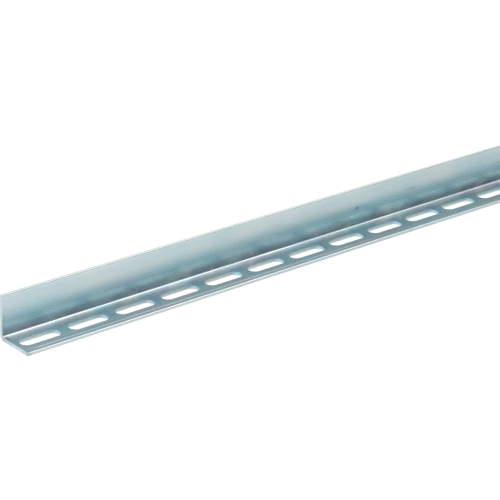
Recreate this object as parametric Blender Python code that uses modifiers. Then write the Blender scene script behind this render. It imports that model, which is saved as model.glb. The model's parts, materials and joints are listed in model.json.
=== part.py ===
"""Slotted angle: one bar of zinc plated steel strip, bent to an equal angle,
with a row of long slots punched along one leg.

Metres, +Z up. The slotted leg lies flat on the floor and the plain leg stands
at its back. The origin is on the floor, midway along the bar and midway
between the toe of the slotted leg and the back of the plain leg.
"""

import math

import bmesh
import bpy

# The bar: its length as sold, and the section of the bent strip
LENGTH = 0.900
LEG_WIDTH = 0.040
THICKNESS = 0.003
BEND_RADIUS = 0.002

# The row of slots in the lying leg
SLOT_LENGTH = 0.040
SLOT_WIDTH = 0.0125
SLOT_PITCH = 0.050
SLOT_GAUGE = 0.022
FIRST_SLOT = 0.025

# Every sheared or punched edge is slightly broken
EDGE_BREAK = 0.0004

# How finely the round shapes are divided
BEND_STEPS = 8
SLOT_END_STEPS = 12
EDGE_SEGMENTS = 2
SHARPEST_SMOOTH_EDGE = math.radians(40)

WELD_DISTANCE = 1e-6
CUT_PAST_FACE = 0.004
WHOLE_PITCH_TOLERANCE = 1e-6

PLATING_COLOUR = (0.61, 0.72, 0.75, 1.0)
PLATING_ROUGHNESS = 0.3


def clear_scene():
    for thing in list(bpy.data.objects):
        bpy.data.objects.remove(thing, do_unlink=True)


def new_collection(name):
    collection = bpy.data.collections.new(name)
    bpy.context.scene.collection.children.link(collection)
    return collection


def plating_material():
    """Bright zinc plate over steel."""
    material = bpy.data.materials.new("zinc_plated_steel")
    material.use_nodes = True
    shader = material.node_tree.nodes["Principled BSDF"]
    shader.inputs["Base Color"].default_value = PLATING_COLOUR
    shader.inputs["Metallic"].default_value = 1.0
    shader.inputs["Roughness"].default_value = PLATING_ROUGHNESS
    return material


def arc(centre, radius, start_degrees, end_degrees, steps):
    """The points of an arc, both ends included, its angles measured anticlockwise from +X."""
    points = []
    for step in range(steps + 1):
        angle = math.radians(start_degrees + (end_degrees - start_degrees) * step / steps)
        x = centre[0] + radius * math.cos(angle)
        y = centre[1] + radius * math.sin(angle)
        points.append((x, y))
    return points


def section_outline():
    """The bent strip's outline: X across the slotted leg from its toe, Y up the plain leg."""
    back = LEG_WIDTH / 2
    toe = back - LEG_WIDTH
    outer_radius = THICKNESS + BEND_RADIUS
    bend_centre = (back - outer_radius, outer_radius)
    heel = arc(bend_centre, outer_radius, -90, 0, BEND_STEPS)
    root = arc(bend_centre, BEND_RADIUS, 0, -90, BEND_STEPS)
    plain_toe = [(back, LEG_WIDTH), (back - THICKNESS, LEG_WIDTH)]
    slotted_toe = [(toe, THICKNESS), (toe, 0)]
    return heel + plain_toe + root + slotted_toe


def slot_outline():
    """A slot's outline with round ends, long side along X, centred on the origin."""
    radius = SLOT_WIDTH / 2
    reach = SLOT_LENGTH / 2 - radius
    right_end = arc((reach, 0), radius, -90, 90, SLOT_END_STEPS)
    left_end = arc((-reach, 0), radius, 90, 270, SLOT_END_STEPS)
    return right_end + left_end


def extruded(name, outline, depth, collection, location=(0, 0, 0), rotation=(0, 0, 0)):
    """A flat outline made a closed mesh object, depth / 2 to each side of its plane."""
    curve = bpy.data.curves.new(name, "CURVE")
    curve.dimensions = "2D"
    curve.fill_mode = "BOTH"
    curve.extrude = depth / 2
    spline = curve.splines.new("POLY")
    spline.points.add(len(outline) - 1)
    for point, (x, y) in zip(spline.points, outline):
        point.co = (x, y, 0, 1)
    spline.use_cyclic_u = True

    drawn = bpy.data.objects.new(name + "_outline", curve)
    drawn.location = location
    drawn.rotation_euler = rotation
    collection.objects.link(drawn)
    bpy.context.view_layer.update()

    evaluated = drawn.evaluated_get(bpy.context.evaluated_depsgraph_get())
    mesh = bpy.data.meshes.new_from_object(evaluated)
    mesh.name = name
    welded = bmesh.new()
    welded.from_mesh(mesh)
    bmesh.ops.remove_doubles(welded, verts=welded.verts, dist=WELD_DISTANCE)
    bmesh.ops.recalc_face_normals(welded, faces=welded.faces)
    welded.to_mesh(mesh)
    welded.free()

    solid = bpy.data.objects.new(name, mesh)
    solid.matrix_world = drawn.matrix_world
    collection.objects.link(solid)
    bpy.data.objects.remove(drawn, do_unlink=True)
    return solid


def slot_centres():
    """Where the slots fall along the bar, from its left end to its right."""
    row = LENGTH - 2 * FIRST_SLOT
    count = 1 + math.floor(row / SLOT_PITCH + WHOLE_PITCH_TOLERANCE)
    return [FIRST_SLOT - LENGTH / 2 + SLOT_PITCH * i for i in range(count)]


def make_bar(collection):
    """The bent strip, its outline carried along X."""
    along_x = (math.radians(90), 0, math.radians(90))
    bar = extruded("slotted_angle", section_outline(), LENGTH, collection, rotation=along_x)
    bar.data.materials.clear()
    bar.data.materials.append(plating_material())
    return bar


def make_punches(collection):
    """One punch for each slot, standing through the lying leg."""
    across = LEG_WIDTH / 2 - SLOT_GAUGE
    for number, along in enumerate(slot_centres(), start=1):
        place = (along, across, THICKNESS / 2)
        name = f"slot_punch_{number:02d}"
        punch = extruded(name, slot_outline(), THICKNESS + 2 * CUT_PAST_FACE, collection, place)
        punch.hide_render = True
        punch.display_type = "WIRE"


def punch_slots(bar, punches):
    cut = bar.modifiers.new("slots", "BOOLEAN")
    cut.operation = "DIFFERENCE"
    cut.solver = "EXACT"
    cut.operand_type = "COLLECTION"
    cut.collection = punches


def break_edges(bar):
    """Rounds the toes, the cut ends and the rims of the slots, and leaves the bend as it is."""
    rounding = bar.modifiers.new("broken_edges", "BEVEL")
    rounding.width = EDGE_BREAK
    rounding.segments = EDGE_SEGMENTS
    rounding.limit_method = "ANGLE"
    rounding.angle_limit = SHARPEST_SMOOTH_EDGE
    rounding.use_clamp_overlap = False
    rounding.loop_slide = False


def smooth_round_faces(bar):
    bar.data.shade_smooth()
    bar.data.set_sharp_from_angle(angle=SHARPEST_SMOOTH_EDGE)


def main():
    clear_scene()
    parts = new_collection("slotted_angle")
    punches = new_collection("slot_punches")
    bar = make_bar(parts)
    make_punches(punches)
    punch_slots(bar, punches)
    break_edges(bar)
    smooth_round_faces(bar)


main()
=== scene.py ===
"""Looks of a slotted angle: steel strip bent to an equal angle, zinc plated,
lying on its slotted leg on a white studio floor.

The bar is one mesh worked out with numpy from the frame's own sizes. The bend,
the toes and the flat faces are the strip's outline carried along the bar. Each
slot is a sleeve that joins a rectangle of the leg's top to the same rectangle
of its underside, down the punched wall.
"""

import json
import math

import bmesh
import bpy
import numpy as np
from bpy.props import FloatProperty, FloatVectorProperty, IntProperty, PointerProperty
from mathutils import Matrix, Vector


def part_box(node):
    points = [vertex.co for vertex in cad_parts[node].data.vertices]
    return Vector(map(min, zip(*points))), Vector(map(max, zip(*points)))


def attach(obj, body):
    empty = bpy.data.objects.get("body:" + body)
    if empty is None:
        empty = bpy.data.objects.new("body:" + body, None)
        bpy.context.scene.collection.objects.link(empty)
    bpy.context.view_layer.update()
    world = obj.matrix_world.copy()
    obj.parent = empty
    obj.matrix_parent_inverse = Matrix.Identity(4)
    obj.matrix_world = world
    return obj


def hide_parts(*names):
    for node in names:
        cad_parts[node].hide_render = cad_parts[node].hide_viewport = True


bl_info = {
    "name": "Slotted Angle",
    "version": (1, 0, 0),
    "blender": (4, 5, 0),
    "location": "View3D > Sidebar > Slotted Angle",
    "description": "Builds a zinc plated slotted angle and the white studio it lies in",
    "category": "Add Mesh",
}

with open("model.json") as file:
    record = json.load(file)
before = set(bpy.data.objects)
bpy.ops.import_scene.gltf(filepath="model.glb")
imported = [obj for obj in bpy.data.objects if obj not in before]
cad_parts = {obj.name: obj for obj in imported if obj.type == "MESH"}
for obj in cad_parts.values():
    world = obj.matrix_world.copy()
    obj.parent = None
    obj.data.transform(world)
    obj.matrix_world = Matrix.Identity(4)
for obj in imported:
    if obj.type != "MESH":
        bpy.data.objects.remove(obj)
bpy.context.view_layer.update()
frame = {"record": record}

NODE = "slotted_angle"
FINISH_SLOT = "zinc_plated_steel"
LOW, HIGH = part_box(NODE)
MOUNTS = {mount["name"]: Vector(mount["pos_m"]) for mount in frame["record"]["mounts"]}


def opening_centre(name):
    """The middle of one of the record's openings."""
    for opening in frame["record"]["physics"]["openings"]:
        if opening["name"] == name:
            return (Vector(opening["box_m"][0]) + Vector(opening["box_m"][1])) / 2
    raise ValueError("the record has no opening " + name)


FIRST_SLOT = opening_centre("slot_01")
SLOT_PITCH = opening_centre("slot_02").x - FIRST_SLOT.x
SLOT_COUNT = round((HIGH.x - LOW.x) / SLOT_PITCH)

# How a slot's outline is shared between the sides of the rectangle round it,
# and how much wider than the slot the rectangle is on each side
SLOT_STRAIGHT_STEPS = 6
SLOT_THIRD_STEPS = 8
FIELD_MARGIN = 0.00225
# From a rounding to the next point on the flat face beside it
BESIDE = 0.0003
# How much smaller than the end's rounding a cap is, all round
CAP_INSET = 0.00006
WELD = 1e-6

# The root's curve: the power by which it starts, how finely it is summed up,
# and how many facets its tails and its core get
ROOT_POWER = 1.5
ROOT_SUM_STEPS = 4000
ROOT_TAIL_STEPS = 7
ROOT_CORE_STEPS = 8

# Round a slot: how wide the drawn-down face is and how much wear and painted
# highlight it takes on, with the rim's wear and painted highlight, how far below
# the rim the wall starts, the heights of its other rings, where it starts to lean
# back and over what height, and the rounding at its foot
DISH_WIDTH = 0.0011
DISH_WEAR_AND_HIGHLIGHT = 0.1
RIM_WEAR_AND_HIGHLIGHT = 0.15
WALL_START = 0.0002
WALL_HEIGHTS = (0.0018, 0.0014, 0.0012, 0.0009, 0.0006, 0.0003)
TEAR_TOP = 0.0013
TEAR_HEIGHT = 0.001
FOOT_ROUND = 0.00015

# The shoulder beside the lower toe: its middle, how far its points and the drop
# reach to each side, how sharp it is and what is trimmed off its curve's ends,
# how far from the left end it takes to rise, and its strength by share of the
# bar's length
SHOULDER_Y = LOW.y + 0.0048
SHOULDER_SPAN = 0.002
SHOULDER_REACH = 0.003
SHOULDER_SOFTNESS = 0.0006
SHOULDER_TRIM = 0.02
SHOULDER_RISE = 0.012
SHOULDER_SHARES = (0.1, 0.36, 0.44, 0.6)
SHOULDER_STRENGTHS = (1.0, 0.85, 0.25, 0.0)

# The left cut turns about this Y, and its lean dies away over this length
CUT_PIVOT_Y = -0.001
CUT_REACH = 0.0042
# The bow's crest and wavelength along the bar
BOW_CREST_X = -0.165
BOW_WAVELENGTH = 0.86


def a_length(name, description, default):
    """A property for a length in metres."""
    return FloatProperty(name=name, description=description, default=default, unit="LENGTH")


def an_angle(name, description, degrees):
    """A property for an angle, its default given in degrees."""
    return FloatProperty(name=name, description=description, default=math.radians(degrees), subtype="ANGLE")


def a_colour(name, description, default):
    """A property for a colour."""
    return FloatVectorProperty(
        name=name, description=description, default=default, subtype="COLOR", min=0.0, max=1.0
    )


class AngleSizes(bpy.types.PropertyGroup):
    """Sizes of the bar. The ones that the frame tells come from it."""

    thickness: a_length("Thickness", "Thickness of the strip", MOUNTS["slotted_leg_top"].z)
    heel_radius: a_length("Heel Radius", "Radius of the outer side of the bend", 0.005)
    root_radius: a_length("Root Radius", "Radius in the middle of the inner side of the bend", 0.0016)
    root_tail: a_length("Root Tail", "How far along each leg the bend still dies away", 0.0083)
    root_lean: an_angle("Root Lean", "How far each leg leans in where its tail meets the root", 9.2)
    shoulder: a_length(
        "Slitting Shoulder", "Depth of the faint step that slitting left beside the lower toe", 0.00025
    )
    toe_round: a_length("Toe Rounding", "Rounding of the slit edges on the outer side of the bend", 0.0004)
    roll_along: a_length(
        "Roll-over Width", "How far the slit edges on the inner side are rolled over along the face", 0.0011
    )
    roll_depth: a_length(
        "Roll-over Depth",
        "How far the slit edges on the inner side are rolled over through the strip",
        0.00065,
    )
    end_round: a_length("End Rounding", "Rounding round the sawn ends", 0.0002)
    bow: a_length("Bow", "How far the bar waves from side to side along its length", 0.00036)
    end_lean: an_angle("End Lean", "How far the left end's cut is out of square, seen from above", 2.75)
    slot_length: a_length("Slot Length", "Length of a slot over its round ends", 0.040)
    slot_width: a_length("Slot Width", "Width of a slot", 0.0125)
    slot_rim: a_length("Slot Rim", "Rounding of a slot's rim where the punch went in", 0.00014)
    roll_over: a_length("Roll-over", "How far the punch drew the leg's face down round a slot", 0.000035)
    break_out: a_length("Break-out", "How much the torn lower part of a slot's wall leans back", 0.00022)
    bend_steps: IntProperty(
        name="Bend Steps",
        description="Facets round the bend",
        default=14,
        min=4,
    )
    edge_steps: IntProperty(
        name="Edge Steps",
        description="Facets round an edge",
        default=5,
        min=2,
    )


class PlatingLook(bpy.types.PropertyGroup):
    """Colours and finish of the zinc plating."""

    tint: a_colour("Tint", "Main colour of the plating", (0.64, 0.735, 0.75))
    low_tint: a_colour("Low Tint", "Colour of the lower half of the plain leg", (0.47, 0.715, 0.785))
    root_tint: a_colour("Root Tint", "Colour of the inner side of the bend", (0.67, 0.74, 0.78))
    # Mauve, and paler as a painted highlight where the bend dies away
    tail_tint_and_highlight: a_colour(
        "Tail Tint", "Mauve colour of the slotted leg where the bend dies away", (0.97, 0.85, 0.85)
    )
    leg_tint: a_colour(
        "Leg Tint", "Paler colour of the slotted leg between the bend and the slots", (0.82, 0.81, 0.80)
    )
    toe_tint: a_colour(
        "Toe Tint", "Greyer colour of the slotted leg in front of the slots", (0.668, 0.672, 0.695)
    )
    slit_tint: a_colour("Slit Tint", "Colour of the slit edge of the slotted leg", (0.575, 0.625, 0.64))
    cut_tint: a_colour("Cut Tint", "Colour of the sawn ends", (0.55, 0.68, 0.705))
    # The slots' walls: painted shade high on them, and a painted reflection of the white floor low on them
    # and at their right ends
    wall_shade: a_colour(
        "Wall Shade", "Colour of the burnished band high on the slots' walls", (0.43, 0.55, 0.55)
    )
    wall_painted_light: a_colour("Wall Tint", "Pale colour low on the slots' walls", (0.69, 0.81, 0.80))
    wall_slate: a_colour(
        "Wall Slate", "Colour high on the slots' walls towards their right ends", (0.34, 0.53, 0.60)
    )
    end_shade: a_colour(
        "End Shade", "Blue colour high on the right end of the slots' walls", (0.49, 0.745, 0.81)
    )
    end_painted_light: a_colour(
        "End Tint", "Pale blue colour low on the right end of the slots' walls", (0.72, 0.95, 1.0)
    )
    # Painted shade: the dark slate band on the plain leg just above the bend
    painted_root_shade: a_colour(
        "Root Painted Shade", "Slate colour of the thin plating on the plain leg above the bend", (0.235, 0.33, 0.385)
    )
    bridge_tint: a_colour("Bridge Tint", "Bluer colour of the leg between two slots", (0.49, 0.665, 0.82))
    slate_tint: a_colour("Slate Tint", "Colour between two slots on the toe's side", (0.50, 0.60, 0.765))
    rim_slate: a_colour(
        "Rim Slate", "Colour of the slots' right rims from the fifth slot on", (0.27, 0.40, 0.47)
    )
    top_tint: a_colour("Top Tint", "Paler colour of the plain leg just under its toe", (0.69, 0.775, 0.785))
    teal: a_colour("Teal", "Colour of the greener clouds", (0.47, 0.70, 0.75))
    straw: a_colour("Straw", "Colour of the warmer clouds", (0.67, 0.735, 0.70))
    # Wear and a painted highlight: the edges, the slots' rims and the plain leg's top face drawn paler
    bright: a_colour("Worn Edge And Highlight", "Colour of the edges that rubbing has brightened", (0.78, 0.83, 0.845))
    # Painted reflection of the white floor, low on the slit edge, the slots' walls and the cut ends
    painted_floor_reflection: a_colour("Toe Painted Reflection", "Pale colour of the lower half of the slit edge", (0.80, 0.89, 0.905))
    roughness: FloatProperty(
        name="Roughness",
        description="Middle roughness of the plating",
        subtype="FACTOR",
        default=0.26,
        min=0.0,
        max=1.0,
    )


class StudioSettings(bpy.types.PropertyGroup):
    """Where the camera stands, and the lights."""

    azimuth: an_angle("Azimuth", "Direction of the camera round the bar, 0 looking along +Y", -42.78)
    elevation: an_angle("Elevation", "Angle at which the camera looks down", 22.20)
    roll: an_angle("Roll", "Turn of the camera about its own axis", 1.96)
    distance: a_length("Distance", "From the camera to its aim", 1.9207)
    aim: FloatVectorProperty(
        name="Aim",
        description="Point of the plain leg in the middle of the picture",
        subtype="TRANSLATION",
        default=(-0.17775, 0.017, 0.01204),
    )
    lens: FloatProperty(
        name="Lens",
        description="Focal length in millimetres",
        default=155.08,
        min=1.0,
    )
    floor_size: a_length("Floor Size", "Side of the square white floor", 24.0)
    softbox_radiance: FloatProperty(
        name="Softbox Brightness",
        description="Brightness of both softboxes, where 1 is white",
        default=1.25,
        min=0.0,
    )


def arc(centre, radii, start, stop, steps):
    """Points and outward normals on an ellipse about centre, at even angles
    from start to stop in degrees, both ends included: its radii times the
    cosine and sine, and the cosine and sine over its radii."""
    angle = np.radians(np.linspace(start, stop, steps + 1))
    around = np.stack([np.cos(angle), np.sin(angle)], axis=1)
    normals = around / np.array(radii)
    normals /= np.linalg.norm(normals, axis=1, keepdims=True)
    return np.array(centre) + np.array(radii) * around, normals


def flat_run(points, normal):
    """Points on a flat face of the outline, all with that face's normal."""
    points = np.array(points, dtype=float)
    return points, np.tile(np.array(normal, dtype=float), (len(points), 1))


def field_half_width(sizes):
    """Half the width of the rectangle of the leg that a slot's sleeve fills."""
    return sizes.slot_width / 2 + FIELD_MARGIN


def field_side(sizes):
    """Y of the points down the short side of a slot's rectangle, from the bend
    to the toe."""
    half = field_half_width(sizes)
    return FIRST_SLOT.y + np.linspace(half, -half, SLOT_THIRD_STEPS + 1)


def root_curve(sizes):
    """The inner side of the bend from the plain leg to the slotted leg.

    The lean of the surface grows as the power 1.5 along the tail, at an even
    rate round the core, and ends in the same way mirrored. The points are the
    sums of its sine and cosine along the curve, and the last one lies in the
    slotted leg's top. Returns points and outward normals."""
    lean, tail = sizes.root_lean, sizes.root_tail
    core = sizes.root_radius * (math.pi / 2 - 2 * lean)
    along = np.linspace(0, 2 * tail + core, ROOT_SUM_STEPS + 1)
    into = np.minimum(along, along[::-1])
    tails = lean * np.clip(into / tail, 0, 1) ** ROOT_POWER
    in_core = np.abs(along - along[-1] / 2) < core / 2
    turned = np.where(along < tail, tails, np.pi / 2 - tails)
    turned = np.where(in_core, lean + (along - tail) / sizes.root_radius, turned)
    step = along[1]
    middle = (turned[1:] + turned[:-1]) / 2
    across = np.concatenate([[0], np.cumsum(np.sin(middle)) * step])
    down = np.concatenate([[0], np.cumsum(np.cos(middle)) * step])
    chosen = np.concatenate(
        [
            np.linspace(0, tail, ROOT_TAIL_STEPS + 1)[:-1],
            np.linspace(tail, tail + core, ROOT_CORE_STEPS + 1),
            np.linspace(tail + core, along[-1], ROOT_TAIL_STEPS + 1)[1:],
        ]
    )
    lean_there = np.interp(chosen, along, turned)
    y = HIGH.y - sizes.thickness - np.interp(chosen, along, across)
    z = sizes.thickness + down[-1] - np.interp(chosen, along, down)
    return np.stack([y, z], axis=1), np.stack([-np.cos(lean_there), np.sin(lean_there)], axis=1)


def strip_outline(sizes):
    """The bent strip's outline in the Y-Z plane, closed and anticlockwise.

    It runs from the slots' field along the underside, round the outer bend, up
    the back, over the upper toe, down the inside, round the inner bend, across
    the field to the lower toe, and back under the leg. Beside each rounding is
    one more point on the flat face, so that shading stays flat there. Returns
    points, normals, how much wear and painted highlight each point takes on, and
    how far it is a sheared edge. Last come the numbers of the two runs of edges
    that cross the field."""
    t = sizes.thickness
    toe = sizes.toe_round
    along, depth = sizes.roll_along, sizes.roll_depth
    heel = sizes.heel_radius
    bend = (HIGH.y - heel, heel)
    inside_y = HIGH.y - t
    side = field_side(sizes)
    root = root_curve(sizes)
    outside = np.linspace(heel + BESIDE, HIGH.z - toe - BESIDE, 8)
    inside = np.linspace(HIGH.z - along - BESIDE, root[0][0, 1] + BESIDE, 6)
    shoulder = SHOULDER_Y + np.linspace(SHOULDER_SPAN, -SHOULDER_SPAN, 11)
    steps = sizes.edge_steps
    # Each run: its points and normals, its wear and painted highlight, and its shear
    before_field = [
        (flat_run([(side[0], 0), (bend[0] - BESIDE, 0)], (0, -1)), 0, 0),
        (arc(bend, (heel, heel), -90, 0, sizes.bend_steps), 0.35, 0),
        (flat_run([(HIGH.y, z) for z in outside], (1, 0)), 0, 0),
        (arc((HIGH.y - toe, HIGH.z - toe), (toe, toe), 0, 90, steps), 0.4, 0.5),
        (flat_run([(HIGH.y - toe - BESIDE, HIGH.z), (inside_y + depth + BESIDE, HIGH.z)], (0, 1)), 0.45, 1),
        (arc((inside_y + depth, HIGH.z - along), (depth, along), 90, 180, steps + 2), 0.3, 0.5),
        (flat_run([(inside_y, z) for z in inside], (-1, 0)), 0, 0),
        (root, 0, 0),
    ]
    from_field = [
        (flat_run([(y, t) for y in side], (0, 1)), 0, 0),
        (flat_run([(y, t) for y in shoulder], (0, 1)), 0, 0),
        (flat_run([(LOW.y + along + BESIDE, t)], (0, 1)), 0, 0),
        (arc((LOW.y + along, t - depth), (along, depth), 90, 180, steps + 2), 0.6, 0.5),
        (flat_run([(LOW.y, t - depth - BESIDE), (LOW.y, toe + BESIDE)], (-1, 0)), 0.15, 1),
        (arc((LOW.y + toe, toe), (toe, toe), 180, 270, steps), 1, 0.5),
        (flat_run([(LOW.y + toe + BESIDE, 0)], (0, -1)), 0, 0),
        (flat_run([(y, 0) for y in side[:0:-1]], (0, -1)), 0, 0),
    ]
    runs, wear, shear = zip(*before_field, *from_field)
    counts = [len(points) for points, _ in runs]
    points = np.concatenate([points for points, _ in runs])
    normals = np.concatenate([normals for _, normals in runs])
    wear_and_highlight = np.repeat(np.array(wear, dtype=float), counts)
    sheared = np.repeat(np.array(shear, dtype=float), counts)
    first_of_top = sum(counts[: len(before_field)])
    first_below = len(points) - SLOT_THIRD_STEPS
    across = np.arange(SLOT_THIRD_STEPS)
    field = np.concatenate([first_of_top + across, first_below + across])
    return points, normals, wear_and_highlight, sheared, field


def half_straight(sizes):
    """Half the straight part of a slot: half its length less its width."""
    return (sizes.slot_length - sizes.slot_width) / 2


def carried_round(sizes, right, half_width):
    """The whole outline whose right end is given: then come the lower straight,
    the left end, which is the right end with both signs changed, and the upper
    straight."""
    half = half_straight(sizes)
    straight = np.linspace(-half, half, SLOT_STRAIGHT_STEPS + 1)[1:-1]
    below = np.stack([straight[::-1], np.full(len(straight), -half_width)], axis=1)
    above = np.stack([straight, np.full(len(straight), half_width)], axis=1)
    return np.concatenate([right, below, -right, above])


def slot_outline(sizes, outset):
    """A slot's outline, a stadium centred on the origin, moved outwards by
    outset: two half circles whose centres lie half the straight part from the
    origin. It starts at the right end of the upper straight."""
    radius = sizes.slot_width / 2 + outset
    turn = np.radians(np.linspace(90, -90, 3 * SLOT_THIRD_STEPS + 1))
    right = np.stack([half_straight(sizes) + radius * np.cos(turn), radius * np.sin(turn)], axis=1)
    return carried_round(sizes, right, radius)


def rectangle_outline(sizes):
    """The rectangle round a slot, centred on the origin, with one point for
    each point of the slot's outline: each half circle's first third goes to
    the long side, its middle third to the short side, and its last third to
    the other long side."""
    half_length = SLOT_PITCH / 2
    half_width = field_half_width(sizes)
    along = np.linspace(half_straight(sizes), half_length, SLOT_THIRD_STEPS + 1)
    down = np.linspace(half_width, -half_width, SLOT_THIRD_STEPS + 1)
    long_side = np.full(SLOT_THIRD_STEPS, half_width)
    x = np.concatenate([along[:-1], np.full(len(down), half_length), along[-2::-1]])
    y = np.concatenate([long_side, down, -long_side])
    return carried_round(sizes, np.stack([x, y], axis=1), half_width)


def punched_profile(sizes):
    """Down a punched wall: outset from the slot's outline, height, wear and painted
    highlight, and shear at each ring.

    From the flat face a parabola dips by the roll-over to the rim, the rim is
    an arc, the wall stands upright for its burnished half and leans back where
    it tore, and a small arc turns it under the leg."""
    t = sizes.thickness
    rim = sizes.slot_rim
    lean = math.atan(2 * sizes.roll_over / DISH_WIDTH)
    turn = np.linspace(math.pi / 2 - lean, 0, sizes.edge_steps + 1)
    rim_height = t - sizes.roll_over - rim * math.sin(turn[0])
    rim_out = rim * (1 - np.cos(turn))
    rim_up = rim_height + rim * np.sin(turn)
    share = np.linspace(0, 1, 6)[:-1]
    dish_out = rim_out[0] + DISH_WIDTH * (1 - share)
    dish_up = t - sizes.roll_over * share**2
    wall_up = np.array([rim_height - WALL_START, *WALL_HEIGHTS])
    wall_out = sizes.break_out * np.clip((TEAR_TOP - wall_up) / TEAR_HEIGHT, 0, 1)
    foot_turn = np.linspace(0, math.pi / 2, 4)
    foot_out = wall_out[-1] + FOOT_ROUND * (1 - np.cos(foot_turn))
    foot_up = FOOT_ROUND * (1 - np.sin(foot_turn))
    out = np.concatenate([dish_out, rim_out, wall_out, foot_out])
    out = np.concatenate([[out[0] + BESIDE], out, [out[-1] + BESIDE]])
    up = np.concatenate([[t], dish_up, rim_up, wall_up, foot_up, [0]])
    below_rim = len(wall_up) + len(foot_up)
    wear_and_highlight = np.concatenate([[0], share**2 * DISH_WEAR_AND_HIGHLIGHT, np.full(len(turn), RIM_WEAR_AND_HIGHLIGHT), np.zeros(below_rim + 1)])
    shear_at_rim = np.linspace(0, 1, len(turn))
    sheared = np.concatenate([np.zeros(1 + len(share)), shear_at_rim, np.ones(below_rim), [0]])
    return out, up, wear_and_highlight, sheared


def slot_centres():
    """X of the middle of each slot."""
    return FIRST_SLOT.x + SLOT_PITCH * np.arange(SLOT_COUNT)


def grid_faces(rows, columns):
    """Quads of a grid of vertices numbered row by row, its last column joined
    to its first."""
    row, column = np.meshgrid(np.arange(rows - 1), np.arange(columns), indexing="ij")
    beside = (column + 1) % columns
    corners = [
        row * columns + column,
        row * columns + beside,
        (row + 1) * columns + beside,
        (row + 1) * columns + column,
    ]
    return np.stack(corners, axis=-1).reshape(-1, 4)


def slot_sleeves(sizes):
    """All the slots' sleeves at once, each the punched profile carried round
    its slot's outline, closed at both rims by the rectangle of the leg that
    the sleeve fills. Returns points, faces, wear and painted highlight, and shear."""
    out, up, wear_and_highlight, sheared = punched_profile(sizes)
    rectangle = rectangle_outline(sizes)
    flat = np.stack([rectangle, *[slot_outline(sizes, outset) for outset in out], rectangle])
    heights = np.concatenate([[sizes.thickness], up, [0.0]])
    wear_and_highlight = np.concatenate([[0], wear_and_highlight, [0]])
    sheared = np.concatenate([[0], sheared, [0]])
    rows, columns = flat.shape[:2]
    points = np.zeros((SLOT_COUNT, rows, columns, 3))
    points[..., 0] = slot_centres()[:, None, None] + flat[None, ..., 0]
    points[..., 1] = FIRST_SLOT.y + flat[None, ..., 1]
    points[..., 2] = heights[None, :, None]
    points[..., 0] = np.clip(points[..., 0], LOW.x + sizes.end_round, HIGH.x - sizes.end_round)
    one = grid_faces(rows, columns)
    faces = (one[None] + (np.arange(SLOT_COUNT) * rows * columns)[:, None, None]).reshape(-1, 4)
    wear_and_highlight = np.broadcast_to(wear_and_highlight[None, :, None], points.shape[:3])
    sheared = np.broadcast_to(sheared[None, :, None], points.shape[:3])
    return points.reshape(-1, 3), faces, wear_and_highlight.ravel(), sheared.ravel()


def shoulder_drop(sizes, points):
    """How far the strip beside the lower toe lies below the leg's top: half of
    one plus a hyperbolic tangent across the shoulder, times a strength that
    dies away along the bar and before its left end, times the height's share
    of the thickness, so that the underside stays flat."""
    x, y, z = points[..., 0], points[..., 1], points[..., 2]
    across = (1 + np.tanh((SHOULDER_Y - y) / SHOULDER_SOFTNESS)) / 2
    across = np.clip((across - SHOULDER_TRIM) / (1 - 2 * SHOULDER_TRIM), 0, 1)
    share = (x - LOW.x) / (HIGH.x - LOW.x)
    along = np.clip((x - LOW.x - sizes.end_round) / SHOULDER_RISE, 0, 1)
    along *= np.interp(share, SHOULDER_SHARES, SHOULDER_STRENGTHS)
    return sizes.shoulder * across * along * z / sizes.thickness * (y < SHOULDER_Y + SHOULDER_REACH)


def strip_faces(sizes):
    """The outline carried straight along the bar, apart from its edges that
    cross the slots' field. Its stations are the points along the long sides of
    the slots' rectangles. Returns points, faces, wear and painted highlight, and shear."""
    outline, _, wear_and_highlight, sheared, field = strip_outline(sizes)
    rectangle = rectangle_outline(sizes)
    on_long_side = np.abs(rectangle[:, 1] - field_half_width(sizes)) < WELD
    offsets = np.unique(np.round(rectangle[on_long_side, 0], 9))
    stations = (slot_centres()[:, None] + offsets[None, :-1]).ravel()
    stations = np.append(stations, HIGH.x)
    stations = np.clip(stations, LOW.x + sizes.end_round, HIGH.x - sizes.end_round)
    points = np.zeros((len(stations), len(outline), 3))
    points[..., 0] = stations[:, None]
    points[..., 1:] = outline[None]
    points[..., 2] -= shoulder_drop(sizes, points)
    faces = grid_faces(len(stations), len(outline))
    edge = np.tile(np.arange(len(outline)), len(stations) - 1)
    faces = faces[~np.isin(edge, field)]
    wear_and_highlight = np.broadcast_to(wear_and_highlight, points.shape[:2])
    sheared = np.broadcast_to(sheared, points.shape[:2])
    return points.reshape(-1, 3), faces, wear_and_highlight.ravel(), sheared.ravel()


def bar_end(sizes, side):
    """One sawn end: the outline shrinks along its normals by one less the
    cosine of a quarter turn as it moves out by the sine, and a last, smaller
    ring carries the flat cap. Returns points, faces, wear and painted highlight,
    and shear, with the cap as one list of its ring's numbers after the quads."""
    outline, normals, wear_and_highlight, _, _ = strip_outline(sizes)
    turn = np.linspace(0, math.pi / 2, sizes.edge_steps + 1)
    inset = np.append(sizes.end_round * (1 - np.cos(turn)), sizes.end_round + CAP_INSET)
    step_out = np.append(sizes.end_round * np.sin(turn), sizes.end_round)
    plane = HIGH.x if side > 0 else LOW.x
    rows = len(inset)
    points = np.zeros((rows, len(outline), 3))
    points[..., 0] = (plane - side * (sizes.end_round - step_out))[:, None]
    points[..., 1:] = outline[None] - inset[:, None, None] * normals[None]
    faces = grid_faces(rows, len(outline)).tolist()
    faces.append(list(range((rows - 1) * len(outline), rows * len(outline))))
    rounding = np.append(np.sin(2 * turn), 0)[:, None]
    wear_and_highlight = np.maximum(np.broadcast_to(wear_and_highlight, (rows, len(outline))) * (rounding > 0), rounding)
    sheared = np.repeat(np.append(np.linspace(0, 1, rows - 1), 1), len(outline))
    return points.reshape(-1, 3), faces, wear_and_highlight.ravel(), sheared


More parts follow.
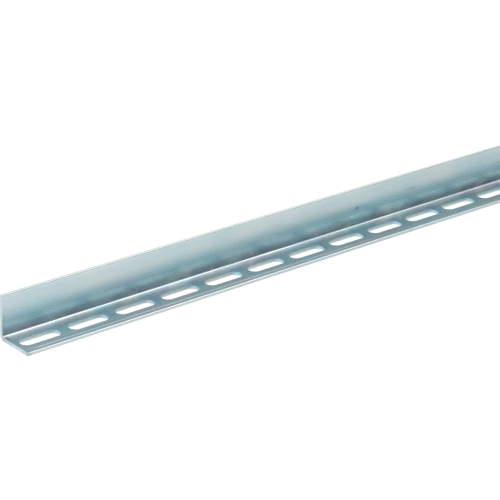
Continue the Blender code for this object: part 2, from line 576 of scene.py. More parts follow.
def lean_of_cut(sizes, points):
    """How far the left end's points move along X, because its cut is a little
    out of square: the lean's tangent times Y from the pivot. The move dies away
    evenly before the first slot."""
    from_end = points[:, 0] - LOW.x - sizes.end_round
    share = np.clip(1 - from_end / CUT_REACH, 0, 1)
    return math.tan(sizes.end_lean) * (points[:, 1] - CUT_PIVOT_Y) * share


def bowed(sizes, points):
    """How far the points move along Y, because strip bent in a mill isn't quite
    straight: a cosine wave along X, with a crest over the sixth slot."""
    return sizes.bow * np.cos(2 * math.pi * (points[:, 0] - BOW_CREST_X) / BOW_WAVELENGTH)


def build_bar_mesh(sizes):
    """Joins the sleeves, the strip and both ends to one closed mesh, with the
    wear and painted highlight and the shear as attributes of its points."""
    patches = [slot_sleeves(sizes), strip_faces(sizes), bar_end(sizes, -1), bar_end(sizes, 1)]
    first = 0
    faces = []
    for patch in patches:
        faces += [[first + corner for corner in face] for face in patch[1]]
        first += len(patch[0])
    points = np.concatenate([patch[0] for patch in patches])
    points[:, 0] += lean_of_cut(sizes, points)
    points[:, 1] += bowed(sizes, points)
    mesh = bpy.data.meshes.new(NODE + "_plated")
    mesh.from_pydata(points.tolist(), [], faces)
    for name, part in (("edge_wear_and_highlight", 2), ("sheared", 3)):
        attribute = mesh.attributes.new(name, "FLOAT", "POINT")
        attribute.data.foreach_set("value", np.concatenate([patch[part] for patch in patches]))
    welded = bmesh.new()
    welded.from_mesh(mesh)
    bmesh.ops.remove_doubles(welded, verts=welded.verts, dist=WELD)
    loose = [vertex for vertex in welded.verts if not vertex.link_faces]
    bmesh.ops.delete(welded, geom=loose, context="VERTS")
    bmesh.ops.recalc_face_normals(welded, faces=welded.faces)
    still_open = sum(not edge.is_manifold for edge in welded.edges)
    volume = welded.calc_volume(signed=True)
    welded.to_mesh(mesh)
    welded.free()
    if still_open or volume <= 0:
        raise RuntimeError(f"the bar isn't closed: {still_open} open edges, volume {volume}")
    mesh.shade_smooth()
    return mesh


def ramp(axis, start, stop, least=0.0, smooth=False):
    """A rise along an axis from least at start to 1 at stop, for NodeSheet.zone."""
    return axis, start, stop, least, smooth


class NodeSheet:
    """Adds nodes to one tree and links them, to keep a material readable. Where
    the tree is an object's, place and axes hold its Object coordinates."""

    def __init__(self, tree, on_object=True):
        tree.nodes.clear()
        self.tree = tree
        if on_object:
            self.place = self.add("ShaderNodeTexCoord").outputs["Object"]
            parts = self.add("ShaderNodeSeparateXYZ", Vector=self.place)
            self.axes = {axis: parts.outputs[axis] for axis in "XYZ"}

    def add(self, kind, settings=None, **inputs):
        """A node of that kind. Settings are its properties, and inputs are its
        sockets by name, with spaces as underscores, given a value or a link."""
        node = self.tree.nodes.new(kind)
        for name, value in (settings or {}).items():
            setattr(node, name, value)
        for name, value in inputs.items():
            self.feed(node.inputs[name.replace("_", " ")], value)
        return node

    def feed(self, socket, value):
        """Links an output to the socket, or sets the socket's value."""
        if isinstance(value, bpy.types.NodeSocket):
            self.tree.links.new(value, socket)
        else:
            socket.default_value = value

    def math(self, operation, first, second=0.0, third=0.0):
        """The result of one sum."""
        node = self.add("ShaderNodeMath", {"operation": operation})
        for socket, value in zip(node.inputs, (first, second, third)):
            self.feed(socket, value)
        return node.outputs[0]

    def product(self, first, *others):
        """All the factors multiplied."""
        for factor in others:
            first = self.math("MULTIPLY", first, factor)
        return first

    def rest(self, share):
        """What is left of 1 beside the share."""
        return self.math("SUBTRACT", 1.0, share)

    def away(self, value, middle):
        """How far the value lies from the middle."""
        return self.math("ABSOLUTE", self.math("SUBTRACT", value, middle))

    def spread(self, value, low, high, to_low=0.0, to_high=1.0, smooth=False):
        """The value moved from one range to another and kept inside it."""
        node = self.add("ShaderNodeMapRange", {"interpolation_type": "SMOOTHSTEP" if smooth else "LINEAR"})
        for socket, given in zip(node.inputs[:5], (value, low, high, to_low, to_high)):
            self.feed(socket, given)
        return node.outputs[0]

    def stirred(self, value, noise, swing):
        """The value with a noise's swing about its middle added."""
        return self.math("ADD", value, self.spread(noise, 0.3, 0.7, -swing, swing))

    def zone(self, *ramps):
        """How far a place lies in a zone, from 0 to 1: the product of its ramps."""
        factors = [
            self.spread(self.axes[axis], start, stop, least, 1.0, smooth)
            for axis, start, stop, least, smooth in ramps
        ]
        return self.product(*factors)

    def blend(self, factor, first, second):
        """One colour over another."""
        node = self.add("ShaderNodeMix", {"data_type": "RGBA"})
        for index, value in ((0, factor), (6, first), (7, second)):
            if index and not isinstance(value, bpy.types.NodeSocket):
                value = (*value[:3], 1.0)
            self.feed(node.inputs[index], value)
        return node.outputs[2]

    def tinted(self, colour, filter_colour):
        """The colour seen through a coloured filter."""
        node = self.add("ShaderNodeVectorMath", {"operation": "MULTIPLY"})
        self.feed(node.inputs[0], colour)
        self.feed(node.inputs[1], filter_colour)
        return node.outputs[0]

    def scaled(self, colour, factor):
        """The colour times one factor."""
        node = self.add("ShaderNodeVectorMath", {"operation": "SCALE"})
        self.feed(node.inputs[0], colour)
        self.feed(node.inputs["Scale"], factor)
        return node.outputs[0]

    def noise(self, stretch, scale, detail=2.0, roughness=0.5, distortion=0.0):
        """Noise at the place, drawn out by the three factors of stretch."""
        drawn = self.add("ShaderNodeMapping", Vector=self.place, Scale=stretch)
        node = self.add(
            "ShaderNodeTexNoise",
            Vector=drawn.outputs[0],
            Scale=scale,
            Detail=detail,
            Roughness=roughness,
            Distortion=distortion,
        )
        return node.outputs[0]

    def joined(self, kind, *values):
        """The result of a node of that kind, its sockets fed in their order."""
        node = self.add(kind)
        for socket, value in zip(node.inputs, values):
            self.feed(socket, value)
        return node.outputs[0]

    def surface(self, shader):
        """Gives the tree its output, fed by the shader."""
        kind = "ShaderNodeOutputWorld" if shader.node.type == "BACKGROUND" else "ShaderNodeOutputMaterial"
        self.feed(self.add(kind).inputs["Surface"], shader)


# In front of the plain leg's back, above the bend, and on the slotted leg
INSIDE = ramp("Y", HIGH.y - 0.0015, HIGH.y - 0.0025)
ABOVE_BEND = ramp("Z", 0.0042, 0.0050)
ON_LEG = (INSIDE, ramp("Z", 0.0050, 0.0042))

# Colours by place, each its name in the plating's look and its ramps
COLOUR_ZONES = (
    ("top_tint", ramp("Z", 0.035, 0.0375, smooth=True)),
    ("low_tint", ABOVE_BEND, ramp("Z", 0.030, 0.015, smooth=True)),
    ("leg_tint", *ON_LEG, ramp("Y", 0.004, 0.0075, smooth=True)),
    ("toe_tint", *ON_LEG, ramp("Y", -0.005, -0.009, smooth=True)),
    ("slit_tint", *ON_LEG, ramp("Y", LOW.y + 0.0015, LOW.y + 0.0007)),
    ("tail_tint_and_highlight", *ON_LEG, ramp("Y", 0.009, 0.0135, smooth=True)),
    ("root_tint", *ON_LEG, ramp("Y", 0.0146, 0.0156)),
)

# Where the blue between two slots is strongest, in pitches from a slot's middle
BRIDGE_MIDDLE = 0.44

# Marks on the inside of the plain leg, each X and Z of its middle, half its
# length and height, its colour and how strongly it covers
MARKS = (
    (-0.0400, 0.0198, 0.0160, 0.0050, (0.36, 0.62, 0.72), 0.45),
    (-0.0442, 0.0208, 0.0027, 0.0024, (0.16, 0.30, 0.34), 0.80),
    (-0.0502, 0.0133, 0.0036, 0.0020, (0.86, 0.92, 0.93), 0.60),
    (0.0277, 0.0243, 0.0120, 0.0016, (0.36, 0.47, 0.50), 0.60),
)

# Slow drifts of the colour along the bar, each a filter and its ramps, in the
# two coats that lie over each other
WARM_END = ((1.07, 1.0, 0.985), ramp("X", -0.385, -0.420, smooth=True), ramp("Y", -0.008, -0.002))
DRIFTS = (
    (
        (*WARM_END, ramp("Z", 0.026, 0.032)),
        (*WARM_END, ramp("Z", 0.010, 0.008)),
        ((0.965, 1.0, 1.0), ramp("X", -0.16, -0.08, smooth=True), ramp("X", 0.07, 0.03)),
        (
            (1.10, 1.025, 1.01),
            ramp("X", -0.300, -0.240, smooth=True),
            ramp("X", -0.100, -0.160, smooth=True),
            ramp("Y", 0.002, 0.005),
            ramp("Y", 0.0145, 0.0135),
            ramp("Z", 0.0055, 0.0045),
        ),
    ),
    (
        (
            (1.10, 1.04, 1.035),
            ramp("X", -0.02, -0.07, least=0.75),
            ramp("Y", 0.0075, 0.0110),
            ramp("Y", HIGH.y - 0.0020, HIGH.y - 0.0030),
            ramp("Z", 0.0055, 0.0045),
        ),
        (
            (1.11, 1.03, 1.01),
            ramp("X", -0.208, -0.153, smooth=True),
            ramp("X", -0.068, -0.123, smooth=True),
            ramp("Z", 0.028, 0.034),
        ),
    ),
)

# Painted light and shade: slow changes of brightness along the bar, each X of
# its middle, half its length and how much darker it is
BEND_PATCHES = ((-0.338, 0.050, 0.06), (-0.235, 0.060, -0.07), (-0.085, 0.085, 0.13))
ROOT_PATCHES = ((-0.220, 0.080, 0.19), (-0.290, 0.040, 0.05))
OVER_BEND_PATCHES = ((-0.333, 0.040, 0.13), (0.030, 0.150, 0.12))
FRONT_PATCHES = ((-0.375, 0.050, 0.13),)
RIM_PATCHES = ((-0.390, 0.065, -0.16),)
TOE_PATCHES = (
    (-0.335, 0.045, 0.09),
    (-0.160, 0.110, -0.10),
    (-0.085, 0.050, -0.07),
    (0.060, 0.080, 0.09),
)
SLIT_PATCHES = ((-0.165, 0.100, 0.06), (0.060, 0.100, -0.11))

FROM_THIRD_SLOT = ramp("X", -0.32, -0.14, smooth=True)

# Painted shade, or painted light where the number is negative: how much, or in
# which patches, and its ramps. These hold on faces and walls alike
SHADES = (
    # Across the middle of the plain leg
    (0.06, INSIDE, FROM_THIRD_SLOT, ramp("Z", 0.028, 0.022), ramp("Z", 0.014, 0.018)),
    # Beside the bend on both legs, in its root, and on the plain leg just over it
    (BEND_PATCHES, INSIDE, ramp("Y", 0.0050, 0.0065), ramp("Z", 0.0110, 0.0085)),
    (ROOT_PATCHES, ramp("Y", 0.0128, 0.0142), ramp("Z", 0.0048, 0.0040)),
    (OVER_BEND_PATCHES, INSIDE, ABOVE_BEND, ramp("Z", 0.0095, 0.0080)),
    # Where the bend runs out into the slotted leg
    (
        -0.11,
        ramp("X", -0.01, 0.04, least=0.364),
        ramp("Y", 0.0095, 0.0115),
        ramp("Y", 0.0152, 0.0144),
        ramp("Z", 0.0048, 0.0040),
    ),
    # The slots' shade on the plain leg
    (
        0.075,
        INSIDE,
        ramp("X", -0.16, -0.26, least=0.533),
        ramp("Z", 0.0070, 0.0095),
        ramp("Z", 0.019, 0.015),
    ),
    # A painted shade line on the plain leg beside the left cut
    (
        0.08,
        INSIDE,
        ramp("X", -0.4489, -0.4476),
        ramp("X", -0.4459, -0.4472),
        ramp("Z", 0.0045, 0.0060),
        ramp("Z", 0.034, 0.018),
    ),
    # A painted shade in the corner of the left cut and the bend
    (
        0.5,
        ramp("X", -0.4498, -0.4482),
        ramp("X", -0.4450, -0.4466),
        ramp("Y", 0.0088, 0.0106),
        ramp("Y", 0.0168, 0.0150),
        ramp("Z", 0.0044, 0.0036),
    ),
)

# The same for faces only
FACE_SHADES = (
    # The slotted leg's flat
    (
        0.042,
        INSIDE,
        FROM_THIRD_SLOT,
        ramp("Y", 0.010, 0.008),
        ramp("Y", -0.0150, -0.0135),
        ramp("Z", 0.0050, 0.0040),
    ),
    # The slotted leg at the left end
    (
        -0.08,
        ramp("X", -0.370, -0.425),
        ramp("Y", 0.0140, 0.0120),
        ramp("Y", -0.0195, -0.0190),
        ramp("Z", 0.0045, 0.0035),
    ),
    # Between the slots and the toe, the slots' front rims, and beside the toe
    (FRONT_PATCHES, ramp("Y", -0.0156, -0.0146), ramp("Y", -0.0122, -0.0134)),
    (RIM_PATCHES, ramp("Y", -0.0100, -0.0092), ramp("Y", -0.0076, -0.0082)),
    (0.05, ramp("X", -0.37, -0.30), ramp("Y", -0.0152, -0.0165), ramp("Y", -0.0183, -0.0177)),
)

# The same for the slots' walls only
WALL_SHADES = ((0.08, ramp("X", -0.14, -0.32, smooth=True)),)

# The same for the lower toe, over its wear and painted highlight: its roll, its
# slit edge, and its corner at the left cut, which gets a painted shade
TOE_SHADES = (
    (TOE_PATCHES, ramp("Y", -0.0180, -0.0188), ramp("Z", 0.0026, 0.0029)),
    (SLIT_PATCHES, ramp("Y", -0.0190, -0.0196), ramp("Z", 0.0028, 0.0025), ramp("Z", 0.0014, 0.0019)),
    (0.22, ramp("X", -0.4462, -0.4485), ramp("Y", -0.0170, -0.0190)),
)


def slot_pitches(sheet):
    """How far a place lies to the right of the first slot's middle, in pitches."""
    return sheet.math("DIVIDE", sheet.math("SUBTRACT", sheet.axes["X"], FIRST_SLOT.x), SLOT_PITCH)


def slot_share(sheet):
    """How far a place lies to the right of the nearest slot's middle, in
    pitches: from -0.5 to 0.5."""
    halfway = sheet.math("ADD", slot_pitches(sheet), 0.5)
    return sheet.math("SUBTRACT", sheet.math("FRACT", halfway), 0.5)


def zone_colour(sheet, look, sheared, clouds):
    """Colour by place. The lower half of the plain leg is bluer, with a painted shade
    of slate just above the bend. The slotted leg is mauve beside the bend, paler
    there as a painted highlight, grey on both sides of the slots, blue between two
    slots, and slate on the right rims of the slots further on."""
    colour = look.tint
    for name, *ramps in COLOUR_ZONES:
        colour = sheet.blend(sheet.zone(*ramps), colour, getattr(look, name))
    # Painted shade just above the bend, kept off the sheared edges
    over_bend = sheet.zone(ABOVE_BEND, ramp("Z", 0.0140, 0.0075, smooth=True), INSIDE)
    colour = sheet.blend(sheet.product(over_bend, sheet.rest(sheared)), colour, look.painted_root_shade)

    from_bridge = sheet.math("PINGPONG", sheet.math("SUBTRACT", slot_pitches(sheet), BRIDGE_MIDDLE), 0.5)
    bridge = sheet.product(
        sheet.spread(from_bridge, 0.20, 0.05, smooth=True),
        sheet.zone(
            ramp("Y", -0.009, -0.003, least=0.1),
            ramp("Y", 0.0135, 0.0095, smooth=True),
            ramp("Z", 0.0055, 0.0035),
        ),
        sheet.spread(clouds, 0.3, 0.6, 1.0, 0.75),
    )
    blue = sheet.blend(sheet.zone(ramp("Y", 0.003, -0.003)), look.bridge_tint, look.slate_tint)
    colour = sheet.blend(bridge, colour, blue)

    share = slot_share(sheet)
    right_rim = sheet.product(
        sheet.spread(share, 0.375, 0.395),
        sheet.spread(share, 0.445, 0.425),
        sheet.spread(sheet.away(sheet.axes["Y"], FIRST_SLOT.y), 0.0060, 0.0040),
        sheet.zone(ramp("Z", 0.0022, 0.0025), ramp("Z", 0.0055, 0.0035)),
        sheet.spread(sheet.axes["X"], -0.22, -0.12, 0.0, 0.75),
    )
    return sheet.blend(right_rim, colour, look.rim_slate)


def wall_colour(sheet, look):
    """Colour of the slots' walls: paler downwards, and palest at their right
    ends. It is painted shade high on the walls, and a painted reflection of the
    white floor low on them and at their right ends."""
    z = sheet.axes["Z"]
    share = slot_share(sheet)
    shade = sheet.blend(sheet.spread(share, 0.12, 0.26), look.wall_shade, look.wall_slate)
    height = sheet.math("ADD", z, sheet.spread(share, 0.15, 0.25, 0.0, 0.0003))
    wall = sheet.blend(sheet.spread(height, 0.0024, 0.0008), shade, look.wall_painted_light)
    end = sheet.blend(sheet.spread(z, 0.0023, 0.0014), look.end_shade, look.end_painted_light)
    return sheet.blend(sheet.spread(share, 0.315, 0.375), wall, end)


def marked(sheet, colour):
    """The colour with the marks over it. A mark fades smoothly from its middle
    to the edge of its ellipse, and shows on the plain leg's inside only."""
    inside = sheet.zone(INSIDE)
    for x, z, half_length, half_height, tint, cover in MARKS:
        along = sheet.math("DIVIDE", sheet.math("SUBTRACT", sheet.axes["X"], x), half_length)
        up = sheet.math("DIVIDE", sheet.math("SUBTRACT", sheet.axes["Z"], z), half_height)
        square = sheet.math("MULTIPLY_ADD", along, along, sheet.product(up, up))
        covered = sheet.spread(sheet.math("SQRT", square), 1.0, 0.2, 0.0, cover, smooth=True)
        colour = sheet.blend(sheet.product(covered, inside), colour, tint)
    return colour


def drifted(sheet, colour):
    """The colour drifting slowly along the bar: less blue at the left end,
    warmer beside the bend, most of all at the fifth and sixth slots, warmer
    high on the plain leg over the sixth and seventh, and bluer from the eighth
    to the tenth."""
    for coat in DRIFTS:
        drift = (1.0, 1.0, 1.0)
        for tint, *ramps in coat:
            drift = sheet.blend(sheet.zone(*ramps), drift, tint)
        colour = sheet.tinted(colour, drift)
    return colour


def patched(sheet, patches):
    """The sum of the patches at a place. Each rises smoothly to its middle."""
    total = 0.0
    for middle, half_length, darker in patches:
        from_middle = sheet.away(sheet.axes["X"], middle)
        patch = sheet.spread(from_middle, half_length, 0.0, 0.0, darker, smooth=True)
        total = sheet.math("ADD", total, patch)
    return total


def shaded_by(sheet, shades):
    """How much the shades darken a place: the sum of each one's number, or of
    its patches, times its zone."""
    total = 0.0
    for darker, *ramps in shades:
        if isinstance(darker, tuple):
            darker = patched(sheet, darker)
        total = sheet.math("MULTIPLY_ADD", sheet.zone(*ramps), darker, total)
    return total


def painted_shading(sheet, on_wall):
    """The factor of painted shade and painted light, by which the plating is drawn darker or paler than its
    colours.
    """
    darker = shaded_by(sheet, SHADES)
    darker = sheet.math("MULTIPLY_ADD", shaded_by(sheet, FACE_SHADES), sheet.rest(on_wall), darker)
    darker = sheet.math("MULTIPLY_ADD", shaded_by(sheet, WALL_SHADES), on_wall, darker)
    return sheet.rest(darker)


# Noises in the plating, each its stretch, scale, detail, roughness and distortion
NOISES = {
    "clouds": ((0.6, 1.0, 1.0), 30.0, 2.0, 0.45, 0.0),
    "fine clouds": ((0.5, 1.0, 1.0), 95.0, 3.0, 0.55, 0.3),
    "streaks": ((0.012, 1.0, 1.0), 850.0, 3.0, 0.6, 0.0),
    "rolling lines": ((0.02, 1.0, 1.0), 3200.0, 2.0, 0.6, 0.0),
    "bands": ((0.02, 1.0, 1.0), 330.0, 1.0, 0.5, 0.0),
}


def plating_noises(sheet):
    """The noises by name, all fainter up the plain leg: each one's distance
    from 0.5 times the strength there, and 0.5 again."""
    strength = sheet.zone(ramp("Z", 0.030, 0.014, least=0.45))
    noises = {}
    for name, settings in NOISES.items():
        from_half = sheet.math("SUBTRACT", sheet.noise(*settings), 0.5)
        noises[name] = sheet.math("MULTIPLY_ADD", from_half, strength, 0.5)
    return noises


def plating_colour(sheet, look, noises, wear_and_highlight, sheared, torn):
    """The colour of the zinc: the zones with clouds of teal and straw, the
    slots' walls and the cut ends over them, marks, drifts and painted shade and
    light, and last the edges that wear and a painted highlight have brightened,
    and the lower toe with a painted reflection of the floor and painted shade."""
    from_middle = sheet.math("ABSOLUTE", sheet.axes["X"])
    on_wall = sheet.product(
        sheared,
        sheet.spread(sheet.away(sheet.axes["Y"], FIRST_SLOT.y), 0.0075, 0.0070),
        sheet.spread(from_middle, HIGH.x - 0.003, HIGH.x - 0.004),
    )
    on_end = sheet.product(sheared, sheet.spread(from_middle, HIGH.x - 0.0021, HIGH.x - 0.0013))
    face = zone_colour(sheet, look, sheared, noises["clouds"])
    colour = sheet.blend(on_wall, face, wall_colour(sheet, look))
    # The cut ends, paler low down where a painted reflection of the floor lies
    cut = sheet.blend(sheet.spread(sheet.axes["Z"], 0.0014, 0.0007, 0.0, 0.5), look.cut_tint, look.painted_floor_reflection)
    colour = sheet.blend(on_end, colour, cut)

    clouded = sheet.rest(sheet.math("MAXIMUM", on_wall, on_end))
    green = sheet.product(sheet.spread(noises["clouds"], 0.42, 0.64, 0.0, 0.66), clouded)
    warm = sheet.product(
        sheet.spread(noises["fine clouds"], 0.5, 0.72, 0.0, 0.54),
        clouded,
        sheet.zone(ramp("X", -0.40, -0.32, least=0.35)),
    )
    colour = sheet.blend(green, colour, look.teal)
    colour = sheet.blend(warm, colour, look.straw)
    colour = drifted(sheet, marked(sheet, colour))

    shade = sheet.stirred(1.0, noises["streaks"], 0.027)
    shade = sheet.stirred(shade, noises["fine clouds"], 0.03)
    shade = sheet.stirred(shade, noises["bands"], 0.028)
    # Tone from the noises, times the painted shade and light
    colour = sheet.scaled(colour, sheet.product(shade, painted_shading(sheet, on_wall)))
    # Wear and a painted highlight on the edges, the slots' rims and the plain leg's top face
    colour = sheet.blend(sheet.product(wear_and_highlight, 0.8), colour, look.bright)
    # Painted reflection of the white floor on the lower toe, fainter low on the slots' walls
    painted_floor_reflection = sheet.product(torn, sheet.spread(sheet.axes["Y"], -0.0190, -0.0195, 0.15, 0.9))
    colour = sheet.blend(painted_floor_reflection, colour, look.painted_floor_reflection)
    # Painted shade and light on the lower toe
    return sheet.scaled(colour, sheet.rest(shaded_by(sheet, TOE_SHADES)))


def plating_roughness(sheet, look, noises, wear_and_highlight, torn):
    """Roughness: uneven over the plating, higher where the wall is torn and
    just above the bend, lower where the edges show wear."""
    dull = sheet.zone(ramp("Z", 0.0125, 0.0095), ramp("Z", 0.0060, 0.0080), INSIDE)
    rough = sheet.stirred(look.roughness, noises["clouds"], 0.02)
    rough = sheet.stirred(rough, noises["streaks"], 0.03)
    rough = sheet.math("MULTIPLY_ADD", torn, 0.2, rough)
    rough = sheet.math("MULTIPLY_ADD", wear_and_highlight, -0.04, rough)
    return sheet.math("MULTIPLY_ADD", dull, 0.09, rough)


# Height of the relief where its noises add up to 1
RELIEF_UNIT = 0.000003


def plating_relief(sheet, noises, torn):
    """Relief of a few thousandths of a millimetre: streaks and rolling lines
    along the bar, a fine grain, and a coarse one where the wall is torn."""
    grain = sheet.noise((0.35, 1.0, 1.0), 5200.0)
    torn_grain = sheet.noise((1.0, 1.0, 0.25), 3600.0, detail=3.0, roughness=0.65)
    relief = sheet.product(noises["rolling lines"], 0.45)
    relief = sheet.math("MULTIPLY_ADD", noises["streaks"], 1.2, relief)
    relief = sheet.math("MULTIPLY_ADD", grain, 0.12, relief)
    relief = sheet.math("MULTIPLY_ADD", sheet.product(torn, torn_grain), 14.0, relief)
    return sheet.add("ShaderNodeBump", Strength=1.0, Distance=RELIEF_UNIT, Height=relief).outputs[0]


def zinc_plate(look):
    """Bright zinc plate on cold rolled strip: satin, with lengthwise rolling
    lines, low clouds of teal and straw, edges brightened by wear and a painted
    highlight, and sheared walls that are smooth above and torn below."""
    material = bpy.data.materials.new(FINISH_SLOT)
    material.use_nodes = True
    sheet = NodeSheet(material.node_tree)
    wear_and_highlight = sheet.add("ShaderNodeAttribute", {"attribute_name": "edge_wear_and_highlight"}).outputs["Fac"]
    sheared = sheet.add("ShaderNodeAttribute", {"attribute_name": "sheared"}).outputs["Fac"]
    torn = sheet.product(sheared, sheet.zone(ramp("Z", 0.0014, 0.0008)))
    noises = plating_noises(sheet)
    metal = sheet.add(
        "ShaderNodeBsdfPrincipled",
        Base_Color=plating_colour(sheet, look, noises, wear_and_highlight, sheared, torn),
        Metallic=1.0,
        Roughness=plating_roughness(sheet, look, noises, wear_and_highlight, torn),
        Normal=plating_relief(sheet, noises, torn),
    )
    sheet.surface(metal.outputs[0])
    return material


# The floor as the camera sees it: a little paint, to keep the shadow, and a glow
SEEN_PAINT = (0.26, 0.26, 0.26, 1.0)
SEEN_GLOW = 0.8
# Its white paint for every other ray: under the bar, darker as a painted
# shadow, clear of the bar, and the share that is left of both to the right, a
# painted fall-off of the light
PAINTED_SHADOW_UNDER_BAR = 0.66
PAINT_CLEAR = 0.85
PAINTED_FALLOFF_TO_RIGHT = 0.76
# A faint glow for those rays, on the whole floor and along the row of slots
GLIMMER = (0.12, 0.12, 0.12)
SLOT_GLIMMER = (0.24, 0.24, 0.264)


def studio_floor():
    """A white floor. The camera sees it glow, with enough paint left in it to
    keep a soft shadow. Every other ray sees white paint, darker under the bar
    as a painted shadow and darker to the right as a painted fall-off of light,
    so the metal mirrors the shade in the slots and close to the bar."""
    material = bpy.data.materials.new("studio_floor")
    material.use_nodes = True
    sheet = NodeSheet(material.node_tree)
    ray = sheet.add("ShaderNodeLightPath")
    faint = sheet.add("ShaderNodeBsdfDiffuse", Color=SEEN_PAINT)
    glow = sheet.add("ShaderNodeEmission", Color=(1.0, 1.0, 1.0, 1.0), Strength=SEEN_GLOW)
    seen = sheet.joined("ShaderNodeAddShader", faint.outputs[0], glow.outputs[0])
    x, y = sheet.axes["X"], sheet.axes["Y"]
    # A painted shadow under the bar and a painted fall-off of light to the right
    clear_of_bar = sheet.spread(sheet.math("ABSOLUTE", y), HIGH.y - 0.001, HIGH.y + 0.001)
    clear_of_ends = sheet.spread(sheet.math("ABSOLUTE", x), HIGH.x, HIGH.x + 0.001)
    clear = sheet.math("MAXIMUM", clear_of_bar, clear_of_ends)
    white = sheet.spread(clear, 0.0, 1.0, PAINTED_SHADOW_UNDER_BAR, PAINT_CLEAR)
    white = sheet.product(white, sheet.spread(x, -0.5, 0.3, 1.0, PAINTED_FALLOFF_TO_RIGHT))
    paint = sheet.add("ShaderNodeBsdfDiffuse", Color=white)
    in_slots = sheet.spread(sheet.away(y, FIRST_SLOT.y), 0.0070, 0.0062)
    lift = sheet.add("ShaderNodeEmission", Color=sheet.blend(in_slots, GLIMMER, SLOT_GLIMMER), Strength=1.0)
    mirrored = sheet.joined("ShaderNodeAddShader", paint.outputs[0], lift.outputs[0])
    sheet.surface(sheet.joined("ShaderNodeMixShader", ray.outputs["Is Camera Ray"], mirrored, seen))
    return material


# Brightness of the hall in front of the bar by height, as the sine of the
# elevation, and behind the bar
FRONT_BRIGHTNESS = ((0.0, 0.14), (0.2, 0.32), (0.38, 0.60), (0.6, 0.84), (0.74, 0.95), (1.0, 0.95))
BACK_BRIGHTNESS = 0.88


def studio_world():
    """White where the camera looks. For light and mirror rays a grey hall:
    dim near the horizon in front, brighter overhead and behind the bar."""
    world = bpy.data.worlds.new("studio")
    world.use_nodes = True
    sheet = NodeSheet(world.node_tree, on_object=False)
    direction = sheet.add("ShaderNodeTexCoord").outputs["Generated"]
    parts = sheet.add("ShaderNodeSeparateXYZ", Vector=direction)
    front = sheet.add("ShaderNodeValToRGB", Fac=parts.outputs["Z"])
    stops = front.color_ramp.elements
    while len(stops) < len(FRONT_BRIGHTNESS):
        stops.new(0.5)
    for stop, (height, brightness) in zip(stops, FRONT_BRIGHTNESS):
        stop.position = height
        stop.color = (brightness, brightness, brightness, 1.0)
    behind = sheet.spread(parts.outputs["Y"], 0.0, 0.5, smooth=True)
    hall = sheet.blend(behind, front.outputs[0], (BACK_BRIGHTNESS,) * 3)
    seen = sheet.add("ShaderNodeLightPath").outputs["Is Camera Ray"]
    colour = sheet.blend(seen, hall, (1.0, 1.0, 1.0))
    light = sheet.add("ShaderNodeBackground", Color=colour, Strength=1.0)
    sheet.surface(light.outputs[0])
    return world


# Each softbox's name, centre, aim, width and height
SOFTBOXES = (
    ("softbox", (0.85, -0.2, 1.7), (0, 0, 0), 1.4, 1.2),
    ("fill", (-1.3, -0.7, 1.3), (-0.45, 0, 0), 0.8, 0.8),
)
SENSOR_WIDTH = 36.0


def place_softbox(radiance, name, centre, aim, width, height):
    """A rectangular lamp facing aim. Its power is its radiance times pi times
    its area."""
    lamp = bpy.data.lights.new(name, "AREA")
    lamp.shape = "RECTANGLE"
    lamp.size = width
    lamp.size_y = height
    lamp.energy = radiance * math.pi * width * height
    softbox = bpy.data.objects.new(name, lamp)
    softbox.location = centre
    softbox.rotation_euler = (Vector(centre) - Vector(aim)).to_track_quat("Z", "Y").to_euler()
    softbox.visible_camera = False
    bpy.context.scene.collection.objects.link(softbox)


def place_camera(settings):
    """A camera at the given angles about its aim, turned about its own axis by
    the roll. Its back vector is the sine and cosine of the azimuth, times the
    cosine of the elevation."""
    azimuth, elevation = settings.azimuth, settings.elevation
    back = Vector(
        (
            math.sin(azimuth) * math.cos(elevation),
            -math.cos(azimuth) * math.cos(elevation),
            math.sin(elevation),
        )
    )
    level = Vector((0, 0, 1)).cross(back).normalized()
    upright = back.cross(level)
    cosine, sine = math.cos(settings.roll), math.sin(settings.roll)
    right = cosine * level + sine * upright
    up = cosine * upright - sine * level
    data = bpy.data.cameras.new("camera")
    data.sensor_width = SENSOR_WIDTH
    data.lens = settings.lens
    camera = bpy.data.objects.new("camera", data)
    turned = Matrix((right, up, back)).transposed().to_4x4()
    camera.matrix_world = Matrix.Translation(Vector(settings.aim) + back * settings.distance) @ turned
    bpy.context.scene.collection.objects.link(camera)
    bpy.context.scene.camera = camera


class SLOTTED_ANGLE_OT_bar(bpy.types.Operator):
    """Builds the plated bar with its punched slots"""

    bl_idname = "slotted_angle.bar"
    bl_label = "Plated Bar"

    def execute(self, context):
        """Makes the mesh and its finish, and puts the piece in the frame."""
        bar = bpy.data.objects.new("plated_bar", build_bar_mesh(context.scene.angle_sizes))
        bar.data.materials.append(zinc_plate(context.scene.plating_look))
        context.scene.collection.objects.link(bar)
        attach(bar, "root")
        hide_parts(NODE)
        return {"FINISHED"}


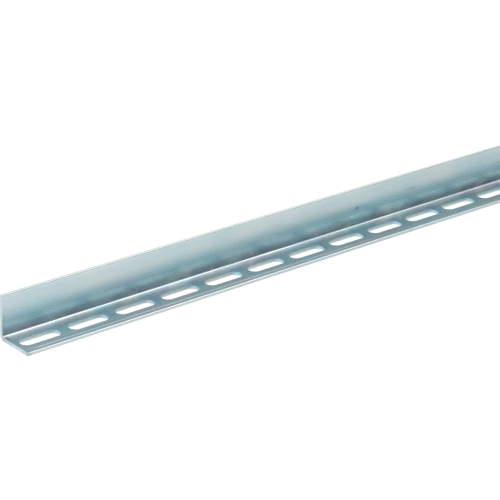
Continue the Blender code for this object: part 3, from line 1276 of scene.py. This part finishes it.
class SLOTTED_ANGLE_OT_studio(bpy.types.Operator):
    """Lays the white floor and sets the lights and the camera"""

    bl_idname = "slotted_angle.studio"
    bl_label = "White Studio"

    def execute(self, context):
        """Makes the floor, the world, the softbox and the camera."""
        settings = context.scene.studio_settings
        half = settings.floor_size / 2
        mesh = bpy.data.meshes.new("floor")
        corners = [(-half, -half, 0), (half, -half, 0), (half, half, 0), (-half, half, 0)]
        mesh.from_pydata(corners, [], [(0, 1, 2, 3)])
        mesh.materials.append(studio_floor())
        floor = bpy.data.objects.new("floor", mesh)
        context.scene.collection.objects.link(floor)
        context.scene.world = studio_world()
        for softbox in SOFTBOXES:
            place_softbox(settings.softbox_radiance, *softbox)
        place_camera(settings)
        context.scene.view_settings.view_transform = "Standard"
        return {"FINISHED"}


class SLOTTED_ANGLE_PT_sidebar(bpy.types.Panel):
    """Lists the bar's and the studio's settings"""

    bl_idname = "SLOTTED_ANGLE_PT_sidebar"
    bl_label = "Slotted Angle"
    bl_space_type = "VIEW_3D"
    bl_region_type = "UI"
    bl_category = "Slotted Angle"

    def draw(self, context):
        """One button and its settings under each other."""
        groups = (
            (SLOTTED_ANGLE_OT_bar, (context.scene.angle_sizes, context.scene.plating_look)),
            (SLOTTED_ANGLE_OT_studio, (context.scene.studio_settings,)),
        )
        for operator, settings in groups:
            box = self.layout.box()
            box.operator(operator.bl_idname)
            for group in settings:
                for name in group.__annotations__:
                    box.prop(group, name)


CLASSES = (
    AngleSizes,
    PlatingLook,
    StudioSettings,
    SLOTTED_ANGLE_OT_bar,
    SLOTTED_ANGLE_OT_studio,
    SLOTTED_ANGLE_PT_sidebar,
)


def register():
    """Registers the classes and gives the scene its settings."""
    for item in CLASSES:
        bpy.utils.register_class(item)
    bpy.types.Scene.angle_sizes = PointerProperty(type=AngleSizes)
    bpy.types.Scene.plating_look = PointerProperty(type=PlatingLook)
    bpy.types.Scene.studio_settings = PointerProperty(type=StudioSettings)


def unregister():
    """Takes the settings and the classes away again."""
    del bpy.types.Scene.studio_settings
    del bpy.types.Scene.plating_look
    del bpy.types.Scene.angle_sizes
    for item in reversed(CLASSES):
        bpy.utils.unregister_class(item)


def main():
    """Builds the studio and the bar."""
    register()
    bpy.ops.slotted_angle.studio()
    bpy.ops.slotted_angle.bar()


if __name__ == "__main__":
    main()
